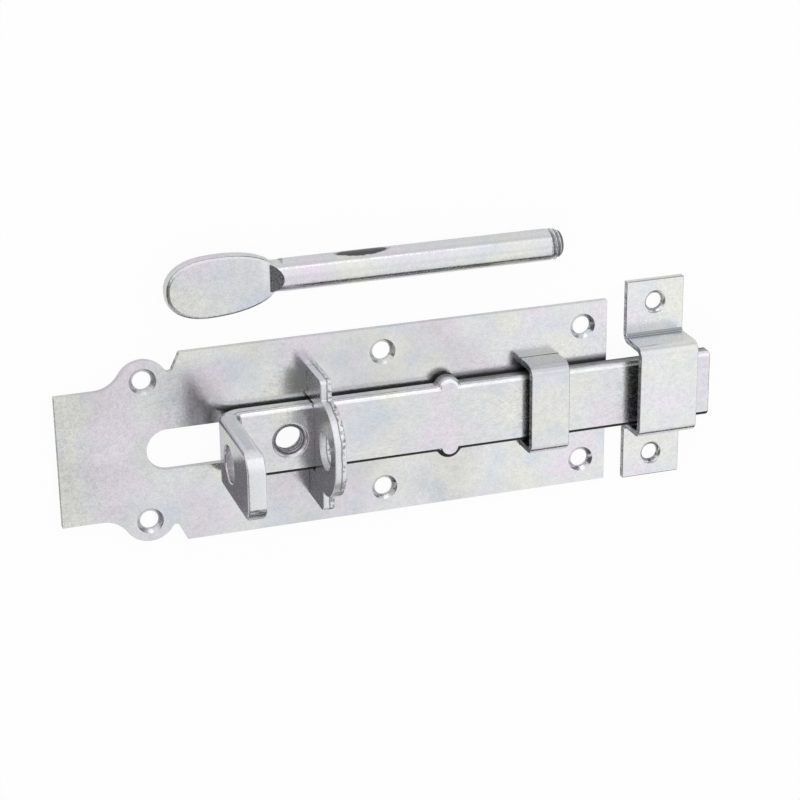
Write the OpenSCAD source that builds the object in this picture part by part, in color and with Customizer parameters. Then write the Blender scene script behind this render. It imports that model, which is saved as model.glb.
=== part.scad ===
// Flat sliding bolt for a stable door: back plate with two riveted staples,
// a flat bolt with a bent padlock lug, a loose keeper and a screw-in handle.
// The set lies on its back: z = 0 is the door side, +z points out of the door,
// +x is the way the bolt is shot, and the origin is the middle of the plate's four outer
// screw holes, on its back.

/* [Back plate] */
// Length of the back plate
plate_len = 214; // [200:1:230]
// Width of the back plate
plate_w = 74; // [70:1:84]
// Thickness of the back plate
plate_t = 2.5; // [2:0.5:4]
// Length of the narrow ornamental end
end_len = 46.5; // [44:0.5:50]
// Width of the narrow end
end_w = 51; // [46:1:55]
// Radius of the lobe round each screw hole of the narrow end
lobe_r = 10; // [9:0.5:11]
// How far each lobe stays inside the full width of the plate
lobe_inset = 1.5; // [1:0.5:3]
// Radius of the hollow curve that runs into each lobe
hollow_r = 11; // [8:0.5:13]
// Radius of the small notch between lobe and shoulder
notch_r = 1.4; // [1:0.1:2]
// Slope of the shoulder beside the notch, in degrees
shoulder_deg = 64; // [58:1:72]

/* [Screw holes] */
// Diameter of the screw holes in the plate
screw_d = 7; // [5:0.5:8]
// Outer diameter of their countersinks
screw_head_d = 10; // [8.5:0.5:11]
// Distance of the outer screw rows from the plate's centre line
screw_y = 27.5; // [25:0.5:29]
// First pair of screw holes, from the narrow end of the plate
screw_x1 = 32.5; // [31:0.5:34]
// Second pair of screw holes, from the narrow end of the plate
screw_x2 = 123.5; // [115:0.5:130]
// Third pair of screw holes, from the full-width end of the plate
screw_x3_in = 10; // [8:0.5:14]

/* [Bolt] */
// Width of the flat bar
bar_w = 26.5; // [20:0.5:28]
// Thickness of the flat bar
bar_t = 7; // [5:0.5:8]
// Radius of the bar's long edges
bar_edge_r = 2; // [0.5:0.25:2.25]
// Lug's outer face, from the narrow end of the plate
bolt_x = 58; // [56:0.5:66]
// Length of the bolt, from the lug's outer face to its square end
bolt_len = 197; // [185:1:210]
// Inner radius of the lug's bend
bend_r = 2.5; // [2:0.5:4]
// Height of the lug's end above the door
lug_top = 50.5; // [46:0.5:56]
// Radius of the lug's two outer corners
lug_corner_r = 7; // [3:0.5:9]
// Diameter of the padlock holes in the lug and in the lock staple
padlock_d = 14; // [10:0.5:14.5]
// Height of both padlock holes above the door
padlock_z = 24; // [22:0.5:26]
// Handle hole, from the lug's outer face
handle_hole_x = 27; // [24:0.5:30]
// Middle of the two stop nibs, from the lug's outer face
nib_x = 89.5; // [85:0.5:95]
// Radius of the half-round nibs
nib_r = 5; // [4:0.5:6]
// How far a nib stands out of the bar
nib_out = 3; // [2.6:0.1:3.4]

/* [Lock staple] */
// Near face of the lock staple, from the narrow end of the plate
lock_x = 94; // [90:0.5:98]
// Thickness of the lock staple
lock_t = 4.5; // [4:0.5:6]
// Width of its base
lock_w = 52; // [50:1:57]
// Height of its shoulders above the door
lock_shoulder_z = 20; // [18:0.2:22]
// Radius of its two shoulders
lock_shoulder_r = 2; // [1:0.5:4]
// Width of its nose
lock_nose_w = 36; // [34:0.5:38]
// Height of its nose above the door
lock_top = 36.8; // [35:0.2:40]
// Radius of the nose's two corners
lock_nose_r = 15; // [10:0.5:16]
// Width of each riveted tenon
tenon_w = 8; // [6:0.5:9]

/* [Guide staple] */
// Near edge of the guide staple, from the narrow end of the plate
guide_x = 178.5; // [172:0.5:184]
// Width of its strap
guide_w = 15.6; // [14:0.2:18]
// Play beside the bolt between its legs, less than the nibs stand out
guide_play = 2.2; // [1:0.1:2.4]
// Room between the bolt and its strap
guide_rise = 2.3; // [0.5:0.1:4]

/* [Keeper] */
// Gap between the plate's end and the keeper
keeper_gap = 8; // [2:0.5:14]
// Sideways offset at which the loose keeper lies
keeper_y = 2.4; // [-2.4:0.1:2.4]
// Width of the keeper's strap
keeper_w = 24; // [20:1:28]
// Length of the keeper over its two flanges
keeper_len = 81.5; // [78:0.5:88]
// Play beside the bolt in the keeper, more than it lies to one side
keeper_play = 2.8; // [2.8:0.1:4]
// Room between the bolt and the keeper's strap
keeper_rise = 5.2; // [1:0.1:6]
// Distance of its screw holes from its middle
keeper_screw_y = 31.5; // [30:0.5:33]
// Diameter of its screw holes
keeper_screw_d = 6.5; // [5:0.5:7]
// Outer diameter of their countersinks
keeper_head_d = 8.5; // [7.5:0.5:9]

/* [Handle] */
// Diameter of the round rod
rod_d = 12; // [11.5:0.5:12]
// Length of the handle
handle_len = 151.8; // [140:0.2:170]
// Pitch diameter of the thread on its end and in the bar
thread_d = 10.8; // [10.2:0.1:11]
// Length of the threaded end
thread_len = 5.8; // [4:0.2:12]
// Chamfer at the tip of the thread
thread_tip = 1; // [0.5:0.1:1.5]
// Chamfer round the threaded hole in the bar
thread_sink = 1.1; // [0.5:0.1:1.5]
// Blade end of the handle, from the narrow end of the plate
handle_x = 41.2; // [20:0.1:50]
// Middle of the handle, from the middle of the plate
handle_y = 63.2; // [60:0.2:74]
// Length of the flattened blade, with its ramps
blade_len = 43; // [40:0.2:50]
// Width of the blade
blade_w = 23; // [21:0.2:28]
// Thickness of the blade
blade_t = 5.5; // [4:0.5:8]
// Length of the ramps between blade and rod
ramp_len = 4.6; // [4:0.2:9]
// Chamfer round the blade
blade_chamfer = 1; // [0.5:0.1:1.5]
// How far the forged blade is turned out of line with the rod, in degrees
blade_skew = 3; // [0:0.5:4]
// Width of the neck where the blade meets the rod
neck_w = 10.2; // [9:0.2:11.6]

/* [Sheet and fits] */
// Sheet of the guide staple and the keeper
sheet_t = 2.5; // [2:0.5:3]
// Inner radius of their bends
sheet_bend_r = 1.5; // [1:0.5:3]
// Play under the bolt
bolt_play = 0.3; // [0.2:0.1:0.6]
// Play beside the bolt in the lock staple
window_play = 0.5; // [0.3:0.1:1]
// Play round a tenon in its slot
tenon_play = 0.05; // [0.02:0.01:0.1]
// Gap left between a nib and the staple that stops it
stop_gap = 0.3; // [0.2:0.1:0.5]
// Room past the handle's rod at each end of the long slot
slot_over = 2.3; // [1:0.1:4]
// Play between the two threads, on the radius
thread_play = 0.05; // [0.02:0.01:0.1]
// Play beside the rod in the long slot
slot_play = 2; // [1:0.1:2.4]

/* [Hidden] */
$fn = 64;
cut = 1;
zinc = [0.80, 0.82, 0.84];
steel_rod = [0.76, 0.78, 0.81];
screw_half = (plate_len - screw_x3_in - screw_x1) / 2;
left = -screw_half - screw_x1;
right = left + plate_len;
half_w = plate_w / 2;
half_end = end_w / 2;

// The blade's outline: where it is widest and how it falls off, as shares of its length, and how blunt it is
blade_widest = 0.4;
blade_fall = 0.58;
blade_bluntness = 2.3;
ramp_from = blade_len - ramp_len;
blade_end = blade_len - ramp_len / 2;

// Where the bolt lies and how far it slides
bar_z = plate_t + bolt_play;
bar_top = bar_z + bar_t;
lug_out = left + bolt_x;
hole_x = lug_out + handle_hole_x;
nib_mid = lug_out + nib_x;
nib_y = bar_w / 2 + nib_out - nib_r;
guide_across = bar_w + 2 * guide_play + 2 * sheet_t;
guide_top = bar_top + guide_rise + sheet_t;
keeper_across = bar_w + 2 * keeper_play + 2 * sheet_t;
keeper_top = bar_top + keeper_rise + sheet_t;
nib_half = sqrt(nib_r * nib_r - (nib_r - nib_out) * (nib_r - nib_out));
lock_near = left + lock_x;
lock_far = lock_near + lock_t;
guide_near = left + guide_x;
travel_back = nib_mid - nib_half - lock_far - stop_gap;
travel_on = guide_near - nib_mid - nib_half - stop_gap;

// The long slot lets the handle's rod through over the whole travel
slot_w = rod_d + 2 * slot_play;
slot_from = hole_x - travel_back - rod_d / 2 - slot_over;
slot_to = hole_x + travel_on + rod_d / 2 + slot_over;

// Centres of the curves of the narrow end, all on the +y side
lobe = [-screw_half, half_w - lobe_inset - lobe_r];
hollow_y = half_end + hollow_r;
hollow_dx = sqrt(pow(lobe_r + hollow_r, 2) - pow(hollow_y - lobe[1], 2));
hollow = [lobe[0] - hollow_dx, hollow_y];
shoulder = [left + end_len, half_w];
slope = [cos(shoulder_deg), sin(shoulder_deg)];
slope_side = [-slope[1], slope[0]];
notch_q = shoulder + notch_r * slope_side - lobe;
notch_qu = notch_q * slope;
notch_s = notch_qu - sqrt(notch_qu * notch_qu - notch_q * notch_q + pow(lobe_r + notch_r, 2));
notch = lobe + notch_q - notch_s * slope;

// Rectangle with round corners, true arcs, centred on the origin
module round_rect(w, h, r) {
    square([w - 2 * r, h], center = true);
    square([w, h - 2 * r], center = true);
    for (x = [-1, 1], y = [-1, 1])
        translate([x * (w / 2 - r), y * (h / 2 - r)]) circle(r);
}

// Upright tongue with two round corners at its top, from z0 to z1
module tongue_shape(w, z0, z1, r) {
    translate([-w / 2, z0]) square([w, z1 - r - z0]);
    translate([r - w / 2, z1 - 2 * r]) square([w - 2 * r, 2 * r]);
    for (y = [-1, 1])
        translate([y * (w / 2 - r), z1 - r]) circle(r);
}

// Slot with round ends from x0 to x1 along the centre line
module slot_shape(x0, x1, w) {
    translate([x0 + w / 2, -w / 2]) square([x1 - x0 - w, w]);
    for (x = [x0 + w / 2, x1 - w / 2])
        translate([x, 0]) circle(w / 2);
}

// Quarter of a ring in the quadrant of +x and +y, for a bend in sheet
module bend_shape(inner, outer) {
    intersection() {
        difference() {
            circle(outer);
            circle(inner);
        }
        square(outer);
    }
}

// One side of the ornamental end: lobe, hollow curve, notch and sloped shoulder.
// Each cut circle is met along its own radii, so that the arcs run on smoothly.
module end_side() {
    through = plate_t + 2 * cut;
    translate(lobe) cylinder(r = lobe_r, h = plate_t);
    difference() {
        linear_extrude(plate_t) polygon([[hollow[0], 0], hollow, lobe, [lobe[0], 0]]);
        translate([hollow[0], hollow[1], -cut]) cylinder(r = hollow_r, h = through);
    }
    difference() {
        linear_extrude(plate_t)
            polygon([[lobe[0], 0], lobe, notch, notch - notch_r * slope_side, shoulder, [shoulder[0], 0]]);
        translate([notch[0], notch[1], -cut]) cylinder(r = notch_r, h = through);
    }
}

// Plate before its holes are cut, with both sides of the ornamental end
module plate_body() {
    translate([left, -half_end, 0]) cube([end_len, end_w, plate_t]);
    translate([left + end_len, -half_w, 0]) cube([plate_len - end_len, plate_w, plate_t]);
    end_side();
    mirror([0, 1, 0]) end_side();
}

// Screw hole with a countersink from the outer face of a sheet, through from below
module screw_hole(d, head_d, t) {
    sink = (head_d - d) / 2;
    translate([0, 0, -cut]) cylinder(d = d, h = t + 2 * cut);
    translate([0, 0, t - sink]) cylinder(d1 = d, d2 = head_d, h = sink);
    translate([0, 0, t]) cylinder(d = head_d, h = cut);
}

module backplate() {
    tenon_y = (bar_w / 2 + window_play + lock_w / 2) / 2;
    guide_leg_y = (guide_across - sheet_t) / 2;
    color(zinc) difference() {
        plate_body();
        translate([0, 0, -cut]) linear_extrude(plate_t + 2 * cut) slot_shape(slot_from, slot_to, slot_w);
        for (x = [-screw_half, left + screw_x2, screw_half], y = [-screw_y, screw_y])
            translate([x, y, 0]) screw_hole(screw_d, screw_head_d, plate_t);
        for (y = [-1, 1]) {
            translate([lock_near - tenon_play, y * tenon_y - tenon_w / 2 - tenon_play, -cut])
                cube([lock_t + 2 * tenon_play, tenon_w + 2 * tenon_play, plate_t + 2 * cut]);
            translate([guide_near - tenon_play, y * guide_leg_y - sheet_t / 2 - tenon_play, -cut])
                cube([guide_w + 2 * tenon_play, sheet_t + 2 * tenon_play, plate_t + 2 * cut]);
        }
    }
}

// Lock staple seen along the bolt: straddling base, round nose, window and tenons
module lock_shape() {
    window = bar_w + 2 * window_play;
    tenon_y = (window + lock_w) / 4;
    difference() {
        union() {
            tongue_shape(lock_w, plate_t, lock_shoulder_z, lock_shoulder_r);
            tongue_shape(lock_nose_w, plate_t, lock_top, lock_nose_r);
        }
        translate([-window / 2, plate_t - cut]) square([window, bar_top + window_play - plate_t + cut]);
        translate([0, padlock_z]) circle(d = padlock_d);
    }
    for (y = [-tenon_y, tenon_y])
        translate([y - tenon_w / 2, 0]) square([tenon_w, plate_t]);
}

module lock_staple() {
    color(zinc) translate([lock_near, 0, 0]) rotate([90, 0, 90]) linear_extrude(lock_t) lock_shape();
}

// Half of a bent strap seen along the bolt: top, bend and leg down to foot_z
module strap_side(across, top, foot_z) {
    outer = sheet_t + sheet_bend_r;
    translate([0, top - sheet_t]) square([across / 2 - outer, sheet_t]);
    translate([across / 2 - outer, top - outer]) bend_shape(sheet_bend_r, outer);
    translate([across / 2 - sheet_t, foot_z]) square([sheet_t, top - outer - foot_z]);
}

module guide_staple() {
    color(zinc) translate([guide_near, 0, 0]) rotate([90, 0, 90]) linear_extrude(guide_w)
        for (side = [0, 1]) mirror([side, 0]) strap_side(guide_across, guide_top, 0);
}

// Half of the hat-shaped keeper, with its flange bent outwards
module keeper_side() {
    outer = sheet_t + sheet_bend_r;
    foot = keeper_across / 2 - sheet_t + outer;
    strap_side(keeper_across, keeper_top, outer);
    translate([foot, outer]) rotate(180) bend_shape(sheet_bend_r, outer);
    translate([foot, 0]) square([keeper_len / 2 - foot, sheet_t]);
}

module keeper() {
    color(zinc) translate([right + keeper_gap, keeper_y, 0]) difference() {
        rotate([90, 0, 90]) linear_extrude(keeper_w)
            for (side = [0, 1]) mirror([side, 0]) keeper_side();
        for (y = [-keeper_screw_y, keeper_screw_y])
            translate([keeper_w / 2, y, 0]) screw_hole(keeper_screw_d, keeper_head_d, sheet_t);
    }
}

module bolt() {
    bend_mid = lug_out + bar_t + bend_r;
    bend_z = bar_top + bend_r;
    socket_r = thread_d / 2 + thread_play;
    color(zinc) difference() {
        union() {
            translate([bend_mid, 0, bar_z + bar_t / 2]) rotate([90, 0, 90])
                linear_extrude(lug_out + bolt_len - bend_mid) round_rect(bar_w, bar_t, bar_edge_r);
            translate([bend_mid, 0, bend_z]) rotate([90, 0, 0]) rotate(180) rotate_extrude(angle = 90)
                translate([bend_r + bar_t / 2, 0]) round_rect(bar_t, bar_w, bar_edge_r);
            intersection() {
                translate([lug_out + bar_t / 2, 0, bend_z])
                    linear_extrude(lug_top - bend_z) round_rect(bar_t, bar_w, bar_edge_r);
                translate([lug_out - cut, 0, 0]) rotate([90, 0, 90]) linear_extrude(bar_t + 2 * cut)
                    tongue_shape(bar_w, bend_z - cut, lug_top, lug_corner_r);
            }
            for (y = [-nib_y, nib_y])
                translate([nib_mid, y, bar_z + bar_t / 2]) rotate_extrude() intersection() {
                    round_rect(2 * nib_r, bar_t, bar_edge_r);
                    translate([0, -bar_t]) square([nib_r, 2 * bar_t]);
                }
        }
        translate([hole_x, 0, bar_z - cut]) cylinder(r = socket_r, h = bar_t + 2 * cut);
        translate([hole_x, 0, bar_top - thread_sink])
            cylinder(r1 = socket_r, r2 = socket_r + thread_sink, h = thread_sink);
        translate([hole_x, 0, bar_top]) cylinder(r = socket_r + thread_sink, h = cut);
        translate([lug_out - cut, 0, padlock_z]) rotate([0, 90, 0])
            cylinder(d = padlock_d, h = bar_t + 2 * cut);
    }
}

// Half width of the blade at x from its end: two quarter superellipses, blunt towards the end
function blade_half(x, inset) =
    let (middle = blade_widest * blade_len, wide = blade_w / 2 - inset)
    let (part = x < middle ? (middle - x) / (middle - inset) : (x - middle) / (blade_fall * blade_len))
    wide * pow(max(0, 1 - pow(part, blade_bluntness)), 1 / blade_bluntness);

// Outline of the blade, inset for its chamfer, up to the middle of the ramps
function blade_points(inset, steps) = [
    for (i = [0:steps]) let (x = inset + (blade_end - inset) * (1 - cos(180 * i / steps)) / 2)
        [x, blade_half(x, inset)],
    for (i = [steps:-1:1]) let (x = inset + (blade_end - inset) * (1 - cos(180 * i / steps)) / 2)
        [x, -blade_half(x, inset)]
];

// Side view of the handle: thin blade, ramps, full rod
module handle_side() {
    thin = blade_t / 2;
    full = rod_d / 2 + cut;
    rise = (rod_d / 2 - thin) * (1 + cut / ramp_len);
    polygon([
        [ramp_from - cut, -thin], [ramp_from, -thin], [blade_len + cut, -thin - rise],
        [blade_len + cut, -full], [handle_len + cut, -full], [handle_len + cut, full],
        [blade_len + cut, full], [blade_len + cut, thin + rise], [ramp_from, thin],
        [ramp_from - cut, thin]
    ]);
}

// Plan of the rod: narrow neck beside the ramps, then full width behind a sloped shoulder
module handle_plan() {
    neck = neck_w / 2;
    full = rod_d / 2 + cut;
    polygon([
        [ramp_from - 2 * cut, -neck], [blade_len, -neck], [blade_len + full - neck, -full],
        [handle_len, -full], [handle_len, full], [blade_len + full - neck, full],
        [blade_len, neck], [ramp_from - 2 * cut, neck]
    ]);
}

module handle() {
    steps = 20;
    thread_r = thread_d / 2;
    body_len = handle_len - thread_len;
    color(steel_rod) translate([left + handle_x, handle_y, rod_d / 2]) {
        translate([blade_len, 0, 0]) rotate(blade_skew) translate([-blade_len, 0, 0]) hull() {
            translate([0, 0, -blade_t / 2]) linear_extrude(blade_t)
                polygon(blade_points(blade_chamfer, steps));
            translate([0, 0, blade_chamfer - blade_t / 2]) linear_extrude(blade_t - 2 * blade_chamfer)
                polygon(blade_points(0, steps));
        }
        intersection() {
            translate([ramp_from - cut, 0, 0]) rotate([0, 90, 0])
                cylinder(d = rod_d, h = body_len - ramp_from + cut);
            translate([0, 0, -rod_d]) linear_extrude(2 * rod_d) handle_plan();
            rotate([90, 0, 0]) translate([0, 0, -rod_d]) linear_extrude(2 * rod_d) handle_side();
        }
        translate([body_len, 0, 0]) rotate([0, 90, 0]) cylinder(r = thread_r, h = thread_len - thread_tip);
        translate([handle_len - thread_tip, 0, 0]) rotate([0, 90, 0])
            cylinder(r1 = thread_r, r2 = thread_r - thread_tip, h = thread_tip);
    }
}

backplate();
lock_staple();
guide_staple();
bolt();
keeper();
handle();
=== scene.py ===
"""Dresses the solids of a flat stable door bolt: zinc plated finishes, softened edges,
screw threads, and the pale table with its soft light. Lengths are metres."""
from math import radians, tau

import bmesh
import bpy
import numpy as np
from bpy.props import FloatProperty, FloatVectorProperty, IntProperty, PointerProperty
from mathutils import Euler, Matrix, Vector


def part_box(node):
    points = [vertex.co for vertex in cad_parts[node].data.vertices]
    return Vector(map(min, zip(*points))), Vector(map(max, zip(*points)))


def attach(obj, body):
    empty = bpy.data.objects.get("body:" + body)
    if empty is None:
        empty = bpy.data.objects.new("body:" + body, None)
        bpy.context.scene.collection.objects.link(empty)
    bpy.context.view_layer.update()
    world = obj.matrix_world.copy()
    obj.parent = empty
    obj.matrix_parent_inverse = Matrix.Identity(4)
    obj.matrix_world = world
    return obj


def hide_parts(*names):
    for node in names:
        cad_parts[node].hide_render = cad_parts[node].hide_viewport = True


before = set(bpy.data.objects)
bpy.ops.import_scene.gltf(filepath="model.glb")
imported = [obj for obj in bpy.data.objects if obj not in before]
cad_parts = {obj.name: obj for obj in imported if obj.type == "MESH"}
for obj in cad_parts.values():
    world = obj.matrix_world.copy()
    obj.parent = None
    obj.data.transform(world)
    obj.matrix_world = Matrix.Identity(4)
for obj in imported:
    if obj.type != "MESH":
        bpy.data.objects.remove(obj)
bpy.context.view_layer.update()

bl_info = {
    "name": "Stable Door Bolt",
    "version": (1, 0, 0),
    "blender": (4, 5, 0),
    "location": "3D View > Sidebar > Door Bolt",
    "description": "Zinc plated finishes, threads and table for a flat stable door bolt",
    "category": "Object",
}

MERGE_DISTANCE = 1e-6
FLAT_ANGLE = radians(0.5)
CREASE_ANGLE = radians(25.0)
MM = 0.001

# Handle: its axis, the forged ramp between blade and rod, and the dark oval on the rod's rear
HANDLE_LOW, HANDLE_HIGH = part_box("handle")
ROD_RADIUS = HANDLE_HIGH.z / 2
ROD_AXIS = Vector((0.0, 0.0632, ROD_RADIUS))
RAMP_LOW, RAMP_HIGH = HANDLE_LOW.x + 38 * MM, HANDLE_LOW.x + 43.5 * MM
OVAL_MIDDLE = (HANDLE_LOW.x + 73.6 * MM, ROD_AXIS.y + ROD_RADIUS, ROD_RADIUS + 1.0 * MM)
OVAL_REACH = (10.5 * MM, 6 * MM, 2.4 * MM)

# Bar: its threaded hole, its top, where its long edges begin, and the lug's plain upper part
BOLT_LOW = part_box("bolt")[0]
SOCKET = Vector((BOLT_LOW.x + 0.027, 0.0, BOLT_LOW.z))
SOCKET_WALL = 5.47 * MM
BAR_THICKNESS = 7 * MM
BAR_TOP = BOLT_LOW.z + BAR_THICKNESS
BAR_EDGE_Y = 9 * MM
LUG_Z = 25 * MM

# Sheet pieces: the plate's narrow end, the lock staple's cut and the keeper's screw holes
SHEET = 2.5 * MM
PLATE_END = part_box("backplate")[0].x
STAPLE_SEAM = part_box("lock_staple")[0].x + 2.6 * MM
KEEPER_LOW, KEEPER_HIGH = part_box("keeper")
KEEPER_MIDDLE = (KEEPER_LOW + KEEPER_HIGH) / 2
KEEPER_SCREW_Y = 31.5 * MM
COUNTERSINK = 4.4 * MM

# Colours that every finish shares
DULL_GREY = (0.38, 0.38, 0.39)
OVAL_BLACK = (0.10, 0.10, 0.105)
FRESH_ZINC = (0.95, 0.95, 0.96)
PIT_BLACK = (0.12, 0.12, 0.11)
# Painted shade: near black for the bar's front edge and for the foot of its sides by the plate
CONTACT_SHADE_BLACK = (0.05, 0.05, 0.05)
# Painted shade for the grooves of the threads
GROOVE_SHADE = (0.20, 0.20, 0.20)

# Order of the finishes on the pieces, which the cut functions answer with
# The bend finish of the guide staple and keeper is a darker plating, painted shade
PLATED, SHEARED, TORN, SHADED_BEND = 0, 1, 2, 2
# On the bar, the rear edge finish is a painted highlight, and the side and front edge finishes carry
# painted shade
BAR_SHADED_SIDE, BAR_TORN, BAR_SHEARED, BAR_REAR_HIGHLIGHT, BAR_FRONT_SHADE = 1, 2, 3, 4, 5
HANDLE_RAMP, HANDLE_BLADE = 1, 2


class FinishSizes(bpy.types.PropertyGroup):
    """Sizes of the softened edges and of the zinc plating's pattern."""

    sheet_edge: FloatProperty(
        name="Sheet edge", description="Softening of the sheared edges of the sheet pieces",
        default=0.42 * MM, min=0.05 * MM, max=0.6 * MM, unit="LENGTH")
    bar_edge: FloatProperty(
        name="Bar edge", description="Softening of the sawn and drilled edges of the bar",
        default=0.75 * MM, min=0.05 * MM, max=1.2 * MM, unit="LENGTH")
    rim: FloatProperty(
        name="Blade rim", description="Softening of the forged blade's rim",
        default=0.75 * MM, min=0.05 * MM, max=1.2 * MM, unit="LENGTH")
    edge_steps: IntProperty(
        name="Edge steps", description="Facets across each softened edge", default=3, min=1, max=6)
    zinc: FloatVectorProperty(
        name="Zinc", description="Colour of the bright zinc plating",
        default=(0.72, 0.73, 0.745), subtype="COLOR", min=0.0, max=1.0)
    straw: FloatVectorProperty(
        name="Straw tint", description="Yellow-green cast where the passivation is thick",
        default=(0.76, 0.765, 0.715), subtype="COLOR", min=0.0, max=1.0)
    lilac: FloatVectorProperty(
        name="Lilac tint", description="Pink-violet cast where the passivation is thin",
        default=(0.76, 0.705, 0.775), subtype="COLOR", min=0.0, max=1.0)
    sky: FloatVectorProperty(
        name="Blue tint", description="Faint blue clouds in the passivation",
        default=(0.655, 0.69, 0.75), subtype="COLOR", min=0.0, max=1.0)
    cloud: FloatProperty(
        name="Cloud size", description="Width of the tinted clouds in the plating",
        default=24 * MM, min=5 * MM, max=80 * MM, unit="LENGTH")


class ThreadSizes(bpy.types.PropertyGroup):
    """The coarse 12 mm thread on the handle and in the bar."""

    pitch: FloatProperty(
        name="Pitch", description="Distance from one ridge to the next",
        default=1.75 * MM, min=1.0 * MM, max=2.5 * MM, unit="LENGTH")
    crest: FloatProperty(
        name="Crest radius", description="Radius over the handle's ridges",
        default=5.95 * MM, min=5.5 * MM, max=6.0 * MM, unit="LENGTH")
    root: FloatProperty(
        name="Root radius", description="Radius in the handle's grooves",
        default=5.0 * MM, min=4.5 * MM, max=5.4 * MM, unit="LENGTH")
    length: FloatProperty(
        name="Length", description="Length of the handle's threaded end",
        default=5.8 * MM, min=4 * MM, max=12 * MM, unit="LENGTH")
    bore: FloatProperty(
        name="Ridge bore", description="Radius inside the ridges of the bar's hole",
        default=5.0 * MM, min=4.8 * MM, max=5.4 * MM, unit="LENGTH")


class StageLook(bpy.types.PropertyGroup):
    """Table and camera."""

    camera_place: FloatVectorProperty(
        name="Camera place", description="Where the camera stands",
        default=(-0.23602, 0.31961, 0.75707), subtype="XYZ", unit="LENGTH")
    camera_turn: FloatVectorProperty(
        name="Camera turn", description="Camera's rotation, X then Y then Z",
        default=(radians(-21.236), radians(-18.456), radians(-0.731)), subtype="EULER", unit="ROTATION")
    camera_lens: FloatProperty(
        name="Lens", description="Focal length on a 36 mm sensor", default=102.12, unit="CAMERA")
    table: FloatVectorProperty(
        name="Table", description="Colour of the pale table", default=(0.92, 0.92, 0.92), subtype="COLOR")


def new_object(name, points, faces):
    """Puts a new mesh, from an array of points and a list of faces, into the scene."""
    mesh = bpy.data.meshes.new(name)
    mesh.from_pydata(points.reshape(-1, 3).tolist(), [], faces)
    mesh.update()
    thing = bpy.data.objects.new(name, mesh)
    bpy.context.scene.collection.objects.link(thing)
    return thing


def new_thread(name, points, faces, body):
    """Puts a new smooth piece into the scene, riding on a body."""
    piece = new_object(name, points, faces)
    piece.data.shade_smooth()
    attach(piece, body)
    return piece


def softened_copy(node, name, body, width, steps, cut, keep=None, soft=None):
    """Copy of a solid's mesh, merged, with every crease rounded by width and flat faces kept flat.
    cut(normal, middle) gives the number of a face's finish. keep(place) picks the points that stay,
    and the opening that is left is filled. soft(middle) picks the creases that take the full width,
    which is otherwise held down by the shortest edge, and the other creases stay sharp."""
    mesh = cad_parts[node].data.copy()
    mesh.name = name
    mesh.materials.clear()
    work = bmesh.new()
    work.from_mesh(mesh)
    bmesh.ops.remove_doubles(work, verts=work.verts, dist=MERGE_DISTANCE)
    if keep is not None:
        bmesh.ops.delete(work, geom=[v for v in work.verts if not keep(v.co)], context="VERTS")
        bmesh.ops.holes_fill(work, edges=[e for e in work.edges if e.is_boundary])
    bmesh.ops.dissolve_limit(work, angle_limit=FLAT_ANGLE, verts=work.verts, edges=work.edges)
    creases = [e for e in work.edges if e.is_manifold and e.calc_face_angle() > CREASE_ANGLE]
    if soft is not None:
        for edge in creases:
            edge.smooth = soft((edge.verts[0].co + edge.verts[1].co) / 2)
        creases = [e for e in creases if e.smooth]
    bmesh.ops.bevel(work, geom=creases, offset=width, offset_type="OFFSET", segments=steps,
                    profile=0.5, affect="EDGES", clamp_overlap=soft is None)
    for face in work.faces:
        face.smooth = True
        face.material_index = cut(face.normal, face.calc_center_median())
    work.to_mesh(mesh)
    work.free()
    piece = bpy.data.objects.new(name, mesh)
    bpy.context.scene.collection.objects.link(piece)
    normals = piece.modifiers.new("flat faces", "WEIGHTED_NORMAL")
    normals.keep_sharp = True
    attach(piece, body)
    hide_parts(node)
    return piece


def ring_faces(rows, columns):
    """Quads of a grid that is closed round its columns, facing outwards, as rows of four indices."""
    row, column = np.meshgrid(np.arange(rows - 1), np.arange(columns), indexing="ij")
    following = (column + 1) % columns
    corners = [(row + 1) * columns + column, (row + 1) * columns + following,
               row * columns + following, row * columns + column]
    return np.stack(corners, axis=-1).reshape(-1, 4)


def square_faces(count):
    """Quads of an open square grid of count by count points, as lists of four indices."""
    row, column = np.meshgrid(np.arange(count - 1), np.arange(count - 1), indexing="ij")
    first = row * count + column
    corners = [first, first + 1, first + count + 1, first + count]
    return np.stack(corners, axis=-1).reshape(-1, 4).tolist()


def thread_wave(turns):
    """Height of a rounded 60 degree thread, 0 in the groove and 1 on the ridge, over turns.
    With s = 2 |turns - round(turns)| it is 1 - smoothstep(s), and smoothstep(s) = 3 s^2 - 2 s^3."""
    s = 2 * np.abs(turns - np.round(turns))
    return 1 - (3 * s ** 2 - 2 * s ** 3)


def fade(x, start, end):
    """0 before start, 1 after end, (1 - cos) / 2 between."""
    share = np.clip((x - start) / (end - start), 0, 1)
    return (1 - np.cos(np.pi * share)) / 2


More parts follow.
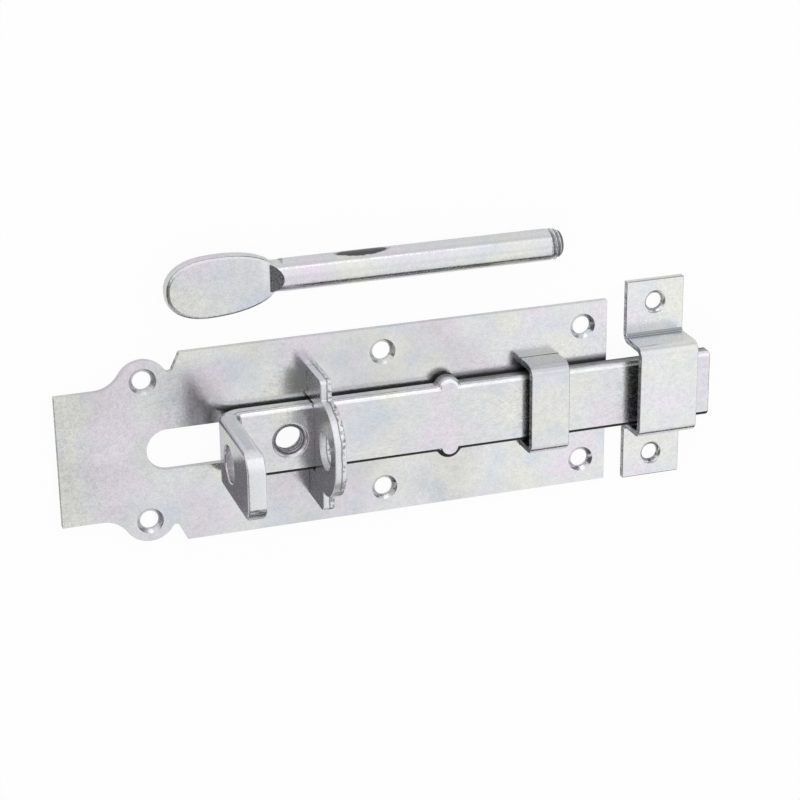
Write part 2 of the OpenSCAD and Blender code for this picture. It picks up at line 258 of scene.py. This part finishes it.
class Nodes:
    """Short way to write a material's node tree."""

    def __init__(self, name):
        self.material = bpy.data.materials.new(name)
        self.material.use_nodes = True
        self.tree = self.material.node_tree
        self.tree.nodes.clear()

    def add(self, kind, inputs=(), **settings):
        """Adds a node. inputs maps a socket's name or number to a value or to another socket."""
        node = self.tree.nodes.new("ShaderNode" + kind)
        for key, value in settings.items():
            setattr(node, key, value)
        for key, value in dict(inputs).items():
            if isinstance(value, bpy.types.NodeSocket):
                self.tree.links.new(value, node.inputs[key])
            else:
                node.inputs[key].default_value = value
        return node

    def mapped(self, place, **changes):
        """place after a Mapping node's Location, Rotation and Scale."""
        return self.add("Mapping", {"Vector": place, **changes}).outputs[0]

    def coordinate(self, place, axis):
        """One coordinate of place, by the number of its axis."""
        return self.add("SeparateXYZ", {0: place}).outputs[axis]

    def distance(self, place, middle, stretch):
        """Distance of place from middle, with each axis stretched."""
        away = self.add("VectorMath", {0: place, 1: tuple(middle)}, operation="SUBTRACT").outputs[0]
        away = self.add("VectorMath", {0: away, 1: tuple(stretch)}, operation="MULTIPLY").outputs[0]
        return self.add("VectorMath", {0: away}, operation="LENGTH").outputs["Value"]

    def noise(self, place, size, detail=2.0, roughness=0.5):
        """Noise with features of the given size in metres."""
        return self.add("TexNoise", {"Vector": place, "Scale": 1 / size, "Detail": detail,
                                     "Roughness": roughness}).outputs["Fac"]

    def math(self, operation, first, second=0.0, third=0.0):
        """Result of a Math node."""
        return self.add("Math", {0: first, 1: second, 2: third}, operation=operation).outputs[0]

    def ramp(self, value, low, high):
        """Value stretched so that low becomes 0 and high becomes 1, and held between them."""
        return self.add("MapRange", {"Value": value, "From Min": low, "From Max": high}).outputs[0]

    def stroke(self, spot, start, way, length, width=0.10 * MM):
        """Straight scratch seen from above: 1 on the line from start along way, 0 off it."""
        step = Vector(way).normalized()
        wander, wander_size = 0.8 * MM, 6 * MM
        x = self.math("SUBTRACT", self.coordinate(spot, 0), start[0])
        y = self.math("SUBTRACT", self.coordinate(spot, 1), start[1])
        run = self.math("MULTIPLY_ADD", x, step.x, self.math("MULTIPLY", y, step.y))
        off = self.math("MULTIPLY_ADD", x, -step.y, self.math("MULTIPLY", y, step.x))
        off = self.math("MULTIPLY_ADD", self.noise(spot, wander_size), wander, off)
        past = self.math("ABSOLUTE", self.math("SUBTRACT", run, length / 2))
        near = self.ramp(self.math("ABSOLUTE", off), width, 0.3 * width)
        return self.math("MULTIPLY", near, self.ramp(past, length / 2, 0.3 * length))

    def mix(self, share, first, second):
        """Colour between first and second."""
        node = self.add("Mix", {0: share}, data_type="RGBA")
        for socket, value in ((node.inputs[6], first), (node.inputs[7], second)):
            if isinstance(value, bpy.types.NodeSocket):
                self.tree.links.new(value, socket)
            else:
                socket.default_value = (*value, 1.0)
        return node.outputs[2]

    def finish(self, shader):
        """Ends the tree in a shader and gives the material."""
        self.add("OutputMaterial", {"Surface": shader.outputs[0]})
        return self.material

    def metal(self, colour, gloss, relief, strength, depth):
        """Ends the tree in a metal skin of that colour and roughness, bumped by relief."""
        bump = self.add("Bump", {"Height": relief, "Strength": strength, "Distance": depth}).outputs[0]
        return self.finish(self.add("BsdfPrincipled", {"Base Color": colour, "Roughness": gloss,
                                                       "Normal": bump, "Metallic": 1.0}))


def zinc_plating(name, sizes, seed, rough, cast=0.0, drag=(1.0, 1.0, 1.0), worn=(), grainy=1.0,
                 blush=0.0, bright=1.0, mark=None, tarnish=0.05):
    """Bright zinc plating: tinted clouds, a fine crystal grain, faint scratches.
    cast shifts the clouds towards straw, drag stretches the fine marks along an axis, worn lists
    scratches seen from above as (x, y, dx, dy, length), grainy scales the grain, blush shifts the
    clouds towards lilac at the plate's narrow end with a straw rim, bright scales the colour,
    mark is the middle and the half axes of a dark, dull oval, and tarnish is the depth of the
    broad greyer clouds, which the plate has only short of its wide end."""
    n = Nodes(name)
    spot = n.add("TexCoord").outputs["Object"]
    moved = n.mapped(spot, Location=(seed, seed * 0.7, seed * 1.3))
    along = n.mapped(moved, Scale=drag)
    zinc, straw, lilac, sky = (tuple(bright * c for c in tint)
                               for tint in (sizes.zinc, sizes.straw, sizes.lilac, sizes.sky))

    # Broad patterns: clouds from lilac over zinc to straw, blue veils and grey haze
    clouds = n.noise(moved, sizes.cloud, 2.0, 0.4)
    veils = n.noise(n.mapped(moved, Location=(0.3, 0.1, 0.2)), 0.7 * sizes.cloud, 2.0, 0.4)
    haze = n.noise(n.mapped(moved, Location=(0.1, 0.4, 0.3)), 1.3 * sizes.cloud, 3.0, 0.5)
    haze = n.ramp(haze, 0.42, 0.62)
    if blush:
        side = n.math("MULTIPLY_ADD", n.noise(spot, 12 * MM, 4.0, 0.6), 30 * MM, n.coordinate(spot, 0))
        narrow_end = n.ramp(side, 0.4 * PLATE_END, 0.7 * PLATE_END)
        rim = n.ramp(side, PLATE_END + 27 * MM, PLATE_END + 19 * MM)
        clouds = n.math("MULTIPLY_ADD", narrow_end, -blush, clouds)
        clouds = n.math("MULTIPLY_ADD", rim, 2.5 * blush, clouds)
        haze = n.math("MULTIPLY", haze, n.ramp(side, 78 * MM, 52 * MM))
    tinted = n.mix(n.ramp(clouds, 0.50 - cast, 0.64 - cast), zinc, straw)
    tinted = n.mix(n.ramp(clouds, 0.50 - cast, 0.37 - cast), tinted, lilac)
    tinted = n.mix(n.ramp(veils, 0.53, 0.70), tinted, sky)

    # Fine patterns: each crystal's own tone, dull patches, and scratches at a slant
    grain = n.noise(along, 0.55 * MM, 1.0, 0.5)
    crystal = n.add("TexVoronoi", {"Vector": along, "Scale": 1 / (0.5 * MM)}).outputs["Color"]
    speck = n.add("SeparateColor", {0: crystal}).outputs[0]
    mottle = n.noise(along, 1.8 * MM, 3.0, 0.6)
    patch = n.ramp(mottle, 0.35, 0.68)
    slant = n.mapped(moved, Rotation=(0.0, 0.0, 0.6), Scale=(1.0, 60.0, 60.0))
    scratch = n.ramp(n.noise(slant, 25 * MM, 2.0), 0.66, 0.72)

    dull = n.math("MULTIPLY_ADD", speck, 0.16 * grainy, n.math("MULTIPLY", patch, 0.12 * grainy))
    dull = n.math("MULTIPLY_ADD", haze, tarnish, dull)
    colour = n.mix(dull, tinted, DULL_GREY)
    if mark is not None:
        middle, reach = mark
        away = n.distance(spot, middle, (1 / r for r in reach))
        away = n.math("MULTIPLY_ADD", n.noise(spot, 2 * MM, 3.0), 0.5, away)
        colour = n.mix(n.ramp(away, 1.3, 1.15), colour, OVAL_BLACK)
    if worn:
        fresh = 0.0
        for x, y, dx, dy, length in worn:
            fresh = n.math("MAXIMUM", fresh, n.stroke(spot, (x, y), (dx, dy), length))
        colour = n.mix(n.math("MULTIPLY", fresh, 0.7), colour, FRESH_ZINC)

    shine = n.math("MULTIPLY_ADD", speck, 0.12 * grainy, n.math("MULTIPLY", patch, 0.06 * grainy))
    gloss = n.math("MULTIPLY_ADD", scratch, 0.10, n.math("ADD", shine, rough - 0.08))
    relief = n.math("MULTIPLY_ADD", scratch, -0.3, n.math("MULTIPLY_ADD", mottle, 0.5, grain))
    return n.metal(colour, gloss, relief, 0.28, 0.05 * MM)


def sheared_zinc(name, sizes, seed, axis, dark, seam=None, shade_height=None):
    """Plated shear cut: duller, with short streaks through the sheet along axis, down to a tone of dark.
    seam is the x at which the smooth cut meets the torn, pitted part, along a dark line, and below the
    height given for painted shade the cut is almost black, a painted shadow that fades out over 4.5 mm
    above it."""
    n = Nodes(name)
    spot = n.add("TexCoord").outputs["Object"]
    stretch = [9.0, 9.0, 9.0]
    stretch[axis] = 1.0
    moved = n.mapped(spot, Location=(seed, seed, seed), Scale=stretch)
    streaks = n.noise(moved, 5 * MM, 4.0, 0.65)
    grain = n.noise(spot, 0.6 * MM, 3.0, 0.6)
    both = n.math("MULTIPLY_ADD", n.ramp(streaks, 0.40, 0.62), 0.7, n.math("MULTIPLY", grain, 0.4))
    colour = n.mix(both, tuple(sizes.zinc), (dark, dark, 1.03 * dark))
    if seam is not None:
        wander = 1.2 * MM
        past = n.math("SUBTRACT", n.coordinate(spot, 0), seam + wander / 2)
        past = n.math("MULTIPLY_ADD", n.noise(spot, 5 * MM), wander, past)
        line = n.ramp(n.math("ABSOLUTE", past), 0.35 * MM, 0.1 * MM)
        pits = n.ramp(n.noise(spot, 1.5 * MM, 3.0, 0.7), 0.50, 0.62)
        pits = n.math("MULTIPLY", pits, n.ramp(past, -0.4 * MM, 0.3 * MM))
        marks = n.math("MULTIPLY", n.math("MAXIMUM", line, pits), 0.8)
        colour = n.mix(marks, colour, PIT_BLACK)
    # Painted shade: towards and below the given height the cut turns almost black, a painted shadow by
    # the plate
    if shade_height is not None:
        height = n.coordinate(spot, 2)
        colour = n.mix(n.ramp(height, shade_height + 4.5 * MM, shade_height), colour, CONTACT_SHADE_BLACK)
    gloss = n.math("MULTIPLY_ADD", both, 0.25, 0.28)
    return n.metal(colour, gloss, n.math("ADD", streaks, grain), 0.5, 0.08 * MM)


def threaded_zinc(name, sizes, middle, axis, root, crest):
    """Plated thread, dark where its surface lies near the root radius round the axis at middle, as
    painted shade in the grooves, and a little lighter than plain zinc on the ridges, as a painted
    highlight.
    """
    n = Nodes(name)
    spot = n.add("TexCoord").outputs["Object"]
    flat = [1.0, 1.0, 1.0]
    flat[axis] = 0.0
    radius = n.distance(spot, middle, flat)
    grain = n.noise(spot, 0.5 * MM, 3.0, 0.6)
    # Painted shade in the grooves, and a painted highlight on the ridges, which are lighter than plain
    # zinc
    ridge = n.ramp(radius, root + 0.1 * (crest - root), root + 0.65 * (crest - root))
    worn = n.math("MULTIPLY", ridge, n.ramp(grain, 0.3, 0.58))
    colour = n.mix(worn, GROOVE_SHADE, tuple(1.15 * c for c in sizes.zinc))
    gloss = n.math("MULTIPLY_ADD", ridge, -0.25, 0.5)
    return n.metal(colour, gloss, grain, 0.4, 0.08 * MM)


def table_paint(look):
    """Pale table that the camera and the metal see almost white, with the shadows kept."""
    n = Nodes("pale table")
    camera_share, metal_share = 0.94, 0.4
    fibre = n.noise(n.add("TexCoord").outputs["Object"], 4 * MM, 3.0)
    base = tuple(look.table)
    shade = n.mix(n.math("MULTIPLY", fibre, 0.03), base, tuple(0.97 * c for c in base))
    matt = n.add("BsdfDiffuse", {"Color": shade})
    glow = n.add("Emission", {"Color": (1.0, 1.0, 1.0, 1.0), "Strength": 1.0})
    path = n.add("LightPath").outputs
    metal = n.math("MAXIMUM", path["Is Glossy Ray"], path["Is Transmission Ray"])
    camera = n.math("MULTIPLY", path["Is Camera Ray"], camera_share)
    share = n.math("MULTIPLY_ADD", metal, metal_share, camera)
    return n.finish(n.add("MixShader", {0: share, 1: matt.outputs[0], 2: glow.outputs[0]}))


def plate_cut(normal, spot):
    """Back plate: every wall is sheared but those that face the rear."""
    return SHEARED if abs(normal.z) < 0.5 and normal.y < 0.5 else PLATED


def staple_cut(normal, spot):
    """Lock staple: its rim is sheared, and torn where its upper part faces the front."""
    if abs(normal.x) > 0.9:
        return PLATED
    return TORN if normal.y < -0.6 and spot.z > 20 * MM else SHEARED


def strap_cut(normal, spot):
    """Guide staple: both sides are sheared, and the rear leg and bend get a darker plating as painted
    shade.
    """
    if abs(normal.x) > 0.6:
        return SHEARED
    return SHADED_BEND if normal.y > 0.2 and normal.z < 0.9 else PLATED


def keeper_cut(normal, spot):
    """Keeper: its sides and screw holes are sheared, and its low bends get a darker plating as painted
    shade.
    """
    past_hole = abs(abs(spot.y - KEEPER_MIDDLE.y) - KEEPER_SCREW_Y)
    in_hole = (spot.x - KEEPER_MIDDLE.x) ** 2 + past_hole ** 2 < COUNTERSINK ** 2 and spot.z < SHEET
    if abs(normal.z) < 0.5 and (abs(normal.x) > 0.6 or in_hole):
        return SHEARED
    return SHADED_BEND if 0.35 < normal.z < 0.99 and spot.z < 6 * MM and abs(normal.x) < 0.1 else PLATED


def bar_cut(normal, spot):
    """Bar: rolled sides under softened edges. The rounded rear edge carries a painted highlight, the
    front edge painted shade, and the sides painted shade that deepens towards the plate. The lug's rim is
    sheared, and torn round its upper front corner."""
    if spot.z > LUG_Z:
        if normal.y < -0.15 and normal.z > 0.15:
            return BAR_TORN
        return BAR_SHEARED if abs(normal.x) < 0.75 else PLATED
    on_edge = abs(spot.y) > BAR_EDGE_Y and spot.z < BAR_TOP
    # Rear edge: painted highlight; front edge: painted shade; sides: painted shade
    if on_edge and 0.25 < normal.z < 0.985:
        return BAR_REAR_HIGHLIGHT if spot.y > 0 else BAR_FRONT_SHADE
    return BAR_SHADED_SIDE if on_edge and normal.z < 0.25 else PLATED


def handle_cut(normal, spot):
    """Handle: the blade, the forged ramp that faces it, and the rod."""
    if spot.x < RAMP_LOW:
        return HANDLE_BLADE
    return HANDLE_RAMP if normal.x < -0.35 and spot.x < RAMP_HIGH else PLATED


class BOLT_OT_sheet_pieces(bpy.types.Operator):
    """Back plate, lock staple, guide staple and keeper with softened edges and zinc plating"""

    bl_idname = "door_bolt.sheet_pieces"
    bl_label = "Sheet Pieces"
    # Each piece's cut function, the axis through its sheet, and the settings of its plating
    LOOKS = {
        "backplate": (plate_cut, 2, {"seed": 0.0, "rough": 0.18, "cast": 0.02, "bright": 1.01,
                                     "blush": 0.14, "tarnish": 0.24}),
        "lock_staple": (staple_cut, 0, {"seed": 0.31, "rough": 0.26, "bright": 0.96}),
        "guide_staple": (strap_cut, 2, {"seed": 0.55, "rough": 0.22, "cast": 0.03, "tarnish": 0.08}),
        "keeper": (keeper_cut, 2, {"seed": 0.83, "rough": 0.22, "cast": 0.06, "bright": 1.06}),
    }
    # Brightness of the plating on the bends, darker than the rest as painted shade
    BEND_SHADES = {"guide_staple": 0.84, "keeper": 0.45}

    def execute(self, context):
        sizes = context.scene.door_bolt_finish
        for node, (cut, axis, plating) in self.LOOKS.items():
            piece = softened_copy(node, node + "_plated", "root",
                                  sizes.sheet_edge, sizes.edge_steps, cut)
            seed, finishes = plating["seed"], piece.data.materials
            finishes.append(zinc_plating("zinc plating, " + node, sizes, **plating))
            # The near black tone 0.12 of the back plate's, guide staple's and keeper's sheared edges is
            # partly their dull cut and partly painted shade
            dark, seam = (0.85, STAPLE_SEAM) if node == "lock_staple" else (0.12, None)
            finishes.append(sheared_zinc("sheared edge, " + node, sizes, seed, axis, dark, seam))
            if node == "lock_staple":
                finishes.append(sheared_zinc("torn edge, " + node, sizes, seed, axis, 0.04))
            # The bends get a darker copy of the plating: painted shade
            if node in self.BEND_SHADES:
                finishes.append(zinc_plating("painted shade bend, " + node, sizes, seed, plating["rough"],
                                             plating["cast"], bright=self.BEND_SHADES[node]))
        return {"FINISHED"}


class BOLT_OT_bar(bpy.types.Operator):
    """Sliding bar with its bent lug, and the ridges of the thread in its hole"""

    bl_idname = "door_bolt.bar"
    bl_label = "Bar and Lug"
    # Seen from above in metres: start x, start y, way x, way y, length
    SCRATCHES = ((0.0460, 0.0079, 0.65, -0.76, 0.0092), (0.0520, 0.0008, 0.60, -0.80, 0.0098),
                 (0.0470, 0.0074, 0.81, -0.58, 0.0130), (0.0405, 0.0035, 0.84, -0.54, 0.0052),
                 (-0.012, -0.009, 1.0, 0.1, 0.02), (0.062, -0.002, 1.0, 0.12, 0.018))

    def execute(self, context):
        sizes, thread = context.scene.door_bolt_finish, context.scene.door_bolt_thread
        bar = softened_copy("bolt", "bar_plated", "bolt", sizes.bar_edge,
                            sizes.edge_steps, bar_cut, soft=lambda middle: True)
        finishes = (
            zinc_plating("zinc plating, bar", sizes, 1.21, 0.22, -0.03, (0.6, 1.0, 1.0), self.SCRATCHES),
            # Rolled side: dull and darkened, partly painted shade, turning almost black towards the plate
            # as a painted contact shadow
            sheared_zinc("rolled side with painted shade, bar", sizes, 0.4, 0, 0.3, shade_height=BOLT_LOW.z + 1 * MM),
            sheared_zinc("torn edge, bar", sizes, 0.5, 0, 0.04),
            sheared_zinc("sheared edge, bar", sizes, 0.6, 2, 0.90),
            # Rear edge: a brighter copy of the plating, a painted highlight along the rounded edge
            zinc_plating("painted highlight, bar rear edge", sizes, 1.21, 0.25, bright=1.28),
            # Front edge: almost black all over, painted shade
            sheared_zinc("painted shade, bar front edge", sizes, 0.7, 0, 0.1, shade_height=BAR_TOP))
        for finish in finishes:
            bar.data.materials.append(finish)
        ridges = self.ridges(thread)
        ridges.data.materials.append(threaded_zinc("thread in the bar", sizes, SOCKET, 2,
                                                   SOCKET_WALL, thread.bore))
        return {"FINISHED"}

    def ridges(self, thread, around=96, rings=72):
        """Wall of the threaded hole: at angle a and height z its radius is
        wall - (wall - bore) * wave(z / pitch - a / tau), faded out at both mouths.
        A plain tube of the radius back closes it from behind."""
        back = 5.7 * MM
        angle = np.arange(around) * tau / around
        z = np.linspace(0.1 * MM, BAR_THICKNESS - 1.0 * MM, rings)
        turns = z[:, None] / thread.pitch - angle[None, :] / tau
        mouths = fade(z, z[0], z[0] + 0.7 * MM) * (1 - fade(z, z[-1] - 0.5 * MM, z[-1]))
        wall = SOCKET_WALL - (SOCKET_WALL - thread.bore) * thread_wave(turns) * mouths[:, None]
        radius = np.concatenate([np.full((1, around), back), wall, np.full((1, around), back)])
        height = np.concatenate([z[:1], z, z[-1:]])[:, None] + np.zeros(around)
        points = np.stack([SOCKET.x + radius * np.cos(angle), radius * np.sin(angle),
                           SOCKET.z + height], axis=-1)
        near = np.arange(around)
        following, far = (near + 1) % around, (rings + 1) * around
        tube = np.stack([near, following, following + far, near + far], axis=-1)
        faces = np.concatenate([ring_faces(rings + 2, around), tube]).tolist()
        return new_thread("socket_thread", points, faces, "bolt")


class BOLT_OT_handle(bpy.types.Operator):
    """Forged handle with its flattened blade, and the thread on its end"""

    bl_idname = "door_bolt.handle"
    bl_label = "Handle"

    def execute(self, context):
        sizes, thread = context.scene.door_bolt_finish, context.scene.door_bolt_thread
        shoulder = HANDLE_HIGH.x - thread.length
        rod = softened_copy("handle", "handle_plated", "root", sizes.rim,
                            sizes.edge_steps, handle_cut,
                            keep=lambda place: place.x < shoulder + 0.1 * MM,
                            soft=lambda middle: middle.x < RAMP_LOW - 1 * MM)
        finishes = (
            zinc_plating("zinc plating, handle", sizes, 2.4, 0.23, 0.03, grainy=0.9, bright=1.02,
                         mark=(OVAL_MIDDLE, OVAL_REACH)),
            sheared_zinc("forged ramp, handle", sizes, 0.9, 2, 0.12),
            zinc_plating("zinc plating, blade", sizes, 2.6, 0.27, 0.03))
        for finish in finishes:
            rod.data.materials.append(finish)
        ridges = self.ridges(thread, shoulder)
        ridges.data.materials.append(threaded_zinc("thread on the handle", sizes, ROD_AXIS, 0,
                                                   thread.root - 0.3 * MM, thread.crest))
        return {"FINISHED"}

    def ridges(self, thread, shoulder, around=96, rings=72):
        """Thread on the rod's end: at angle a and distance x from the shoulder its radius is
        root + (crest - root) * wave(x / pitch - a / tau), and it ends in a quarter ellipse of
        the length and radius end_length and end_radius."""
        end_length, end_radius = 0.9 * MM, 4.5 * MM
        angle = np.arange(around) * tau / around
        x = np.linspace(0, thread.length - end_length, rings)
        turns = x[:, None] / thread.pitch - angle[None, :] / tau
        worn = fade(x, x[-1] - 2.6 * MM, x[-1] + 0.6 * MM)
        high, low = thread.crest - 1.2 * MM * worn, thread.root - 0.5 * MM * worn
        at_shoulder = 1 - fade(x, 0, 0.6 * MM)
        wave = np.maximum(thread_wave(turns), at_shoulder[:, None])
        ridged = low[:, None] + (high - low)[:, None] * wave
        lift = np.linspace(0.15, 0.98, 8) * np.pi / 2
        rounded = end_radius * np.cos(lift)[:, None] + np.zeros(around)
        radius = np.concatenate([ridged, rounded])
        length = np.concatenate([x, x[-1] + end_length * np.sin(lift)])[:, None] + np.zeros(around)
        points = np.stack([shoulder + length, ROD_AXIS.y + radius * np.cos(angle),
                           ROD_AXIS.z + radius * np.sin(angle)], axis=-1)
        rows = rings + len(lift)
        faces = ring_faces(rows, around).tolist()
        faces.append(list(range(around)))
        faces.append(list(range(rows * around - 1, (rows - 1) * around - 1, -1)))
        return new_thread("handle_thread", points, faces, "root")


class BOLT_OT_stage(bpy.types.Operator):
    """Pale table, soft lamps, white surroundings and the camera"""

    bl_idname = "door_bolt.stage"
    bl_label = "Table, Lamps and Camera"
    # Name, place, width and power in watts
    LAMPS = (("right soft box", (0.95, -0.45, 1.05), 1.0, 0.35),
             ("rear soft box", (0.1, 1.1, 0.9), 0.8, 1.4))
    # Name, corner, side, rise and tone
    CARDS = (("left_canopy", (-0.75, -1.0, 0.80), (0.67, 0.0, 0.0), (0.0, 1.12, 0.0), 0.24),
             ("far_left_canopy", (-2.0, -1.0, 0.80), (1.25, 0.0, 0.0), (0.0, 1.6, 0.0), 0.08),
             ("rear_canopy", (-0.75, 0.12, 0.80), (1.8, 0.0, 0.0), (0.0, 1.1, 0.0), 1.10),
             ("rear_board", (1.3, 1.35, 0.02), (-2.6, 0.0, 0.0), (0.0, 0.0, 0.60), 0.80),
             ("front_board", (-1.3, -1.3, 0.02), (2.6, 0.0, 0.0), (0.0, 0.0, 0.55), 0.04),
             ("right_board", (1.3, -1.3, 0.02), (0.0, 2.6, 0.0), (0.0, 0.0, 0.42), 0.25),
             ("left_board", (-1.3, 1.3, 0.02), (0.0, -2.6, 0.0), (0.0, 0.0, 0.42), 0.25))

    def execute(self, context):
        scene = context.scene
        look = scene.door_bolt_stage
        scene.view_settings.view_transform = "Standard"
        self.table(look)
        self.surroundings(scene)
        for name, place, width, power in self.LAMPS:
            self.lamp(name, place, width, power)
        for name, corner, side, rise, tone in self.CARDS:
            self.card(name, corner, side, rise, tone)
        eye = bpy.data.cameras.new("camera")
        eye.lens, eye.sensor_width = look.camera_lens, 36.0
        stand = bpy.data.objects.new("camera", eye)
        stand.location = look.camera_place
        stand.rotation_euler = Euler(look.camera_turn)
        scene.collection.objects.link(stand)
        scene.camera = stand
        return {"FINISHED"}

    def table(self, look):
        """A wide, very slightly wavy top: z = -clear + wave * sin(rate x) sin(rate y)."""
        count, reach, clear, wave, rate = 41, 3.0, 0.1 * MM, 0.02 * MM, 40
        x, y = np.meshgrid(np.linspace(-reach, reach, count), np.linspace(-reach, reach, count))
        z = -clear + wave * np.sin(rate * x) * np.sin(rate * y)
        top = new_object("table", np.stack([x, y, z], axis=-1), square_faces(count))
        top.data.materials.append(table_paint(look))

    def surroundings(self, scene):
        """White world, at full strength where it is seen and a little lower where it lights."""
        seen_strength, lit_strength = 1.0, 0.85
        world = bpy.data.worlds.new("studio")
        world.use_nodes = True
        scene.world = world
        tree = world.node_tree
        back = tree.nodes["Background"]
        back.inputs["Color"].default_value = (1.0, 1.0, 1.0, 1.0)
        path = tree.nodes.new("ShaderNodeLightPath")
        seen = path.outputs["Is Camera Ray"]
        for ray in ("Is Glossy Ray", "Is Transmission Ray"):
            either = tree.nodes.new("ShaderNodeMath")
            either.operation = "MAXIMUM"
            tree.links.new(seen, either.inputs[0])
            tree.links.new(path.outputs[ray], either.inputs[1])
            seen = either.outputs[0]
        strength = tree.nodes.new("ShaderNodeMapRange")
        strength.inputs["To Min"].default_value = lit_strength
        strength.inputs["To Max"].default_value = seen_strength
        tree.links.new(seen, strength.inputs["Value"])
        tree.links.new(strength.outputs[0], back.inputs["Strength"])

    def card(self, name, corner, side, rise, tone, count=9):
        """Grey board that only reflections see: corner + u * side + v * rise, and a bow of
        sin(pi u) sin(pi v) square to it."""
        u, v = np.meshgrid(np.linspace(0, 1, count), np.linspace(0, 1, count))
        side, rise = np.array(side), np.array(rise)
        bow = 2 * MM * np.sin(np.pi * u) * np.sin(np.pi * v)
        normal = np.cross(side, rise) / np.linalg.norm(np.cross(side, rise))
        points = np.array(corner) + u[..., None] * side + v[..., None] * rise + bow[..., None] * normal
        board = new_object(name, points, square_faces(count))
        n = Nodes(name)
        glow = n.add("Emission", {"Color": (tone, tone, tone * 1.02, 1.0), "Strength": 1.0})
        board.data.materials.append(n.finish(glow))
        board.visible_camera = board.visible_diffuse = board.visible_shadow = False

    def lamp(self, name, place, width, power):
        """Square soft lamp at place, turned to the origin."""
        light = bpy.data.lights.new(name, "AREA")
        light.size, light.energy = width, power
        box = bpy.data.objects.new(name, light)
        box.location = place
        box.rotation_euler = (-Vector(place)).to_track_quat("-Z", "Y").to_euler()
        bpy.context.scene.collection.objects.link(box)


class BOLT_PT_panel(bpy.types.Panel):
    """The steps of the dressed door bolt, in order"""

    bl_idname = "BOLT_PT_panel"
    bl_label = "Stable Door Bolt"
    bl_space_type = "VIEW_3D"
    bl_region_type = "UI"
    bl_category = "Door Bolt"

    def draw(self, context):
        for group in GROUPS:
            box = self.layout.box()
            settings = getattr(context.scene, group)
            for key in settings.__annotations__:
                box.prop(settings, key)
        for step in STEPS:
            self.layout.operator(step.bl_idname)


STEPS = (BOLT_OT_sheet_pieces, BOLT_OT_bar, BOLT_OT_handle, BOLT_OT_stage)
GROUPS = {"door_bolt_finish": FinishSizes, "door_bolt_thread": ThreadSizes,
          "door_bolt_stage": StageLook}


def register():
    for kind in (*GROUPS.values(), *STEPS, BOLT_PT_panel):
        bpy.utils.register_class(kind)
    for name, group in GROUPS.items():
        setattr(bpy.types.Scene, name, PointerProperty(type=group))


def unregister():
    for name in GROUPS:
        delattr(bpy.types.Scene, name)
    for kind in reversed((*GROUPS.values(), *STEPS, BOLT_PT_panel)):
        bpy.utils.unregister_class(kind)


def main():
    register()
    bpy.ops.door_bolt.sheet_pieces()
    bpy.ops.door_bolt.bar()
    bpy.ops.door_bolt.handle()
    bpy.ops.door_bolt.stage()


if __name__ == "__main__":
    main()
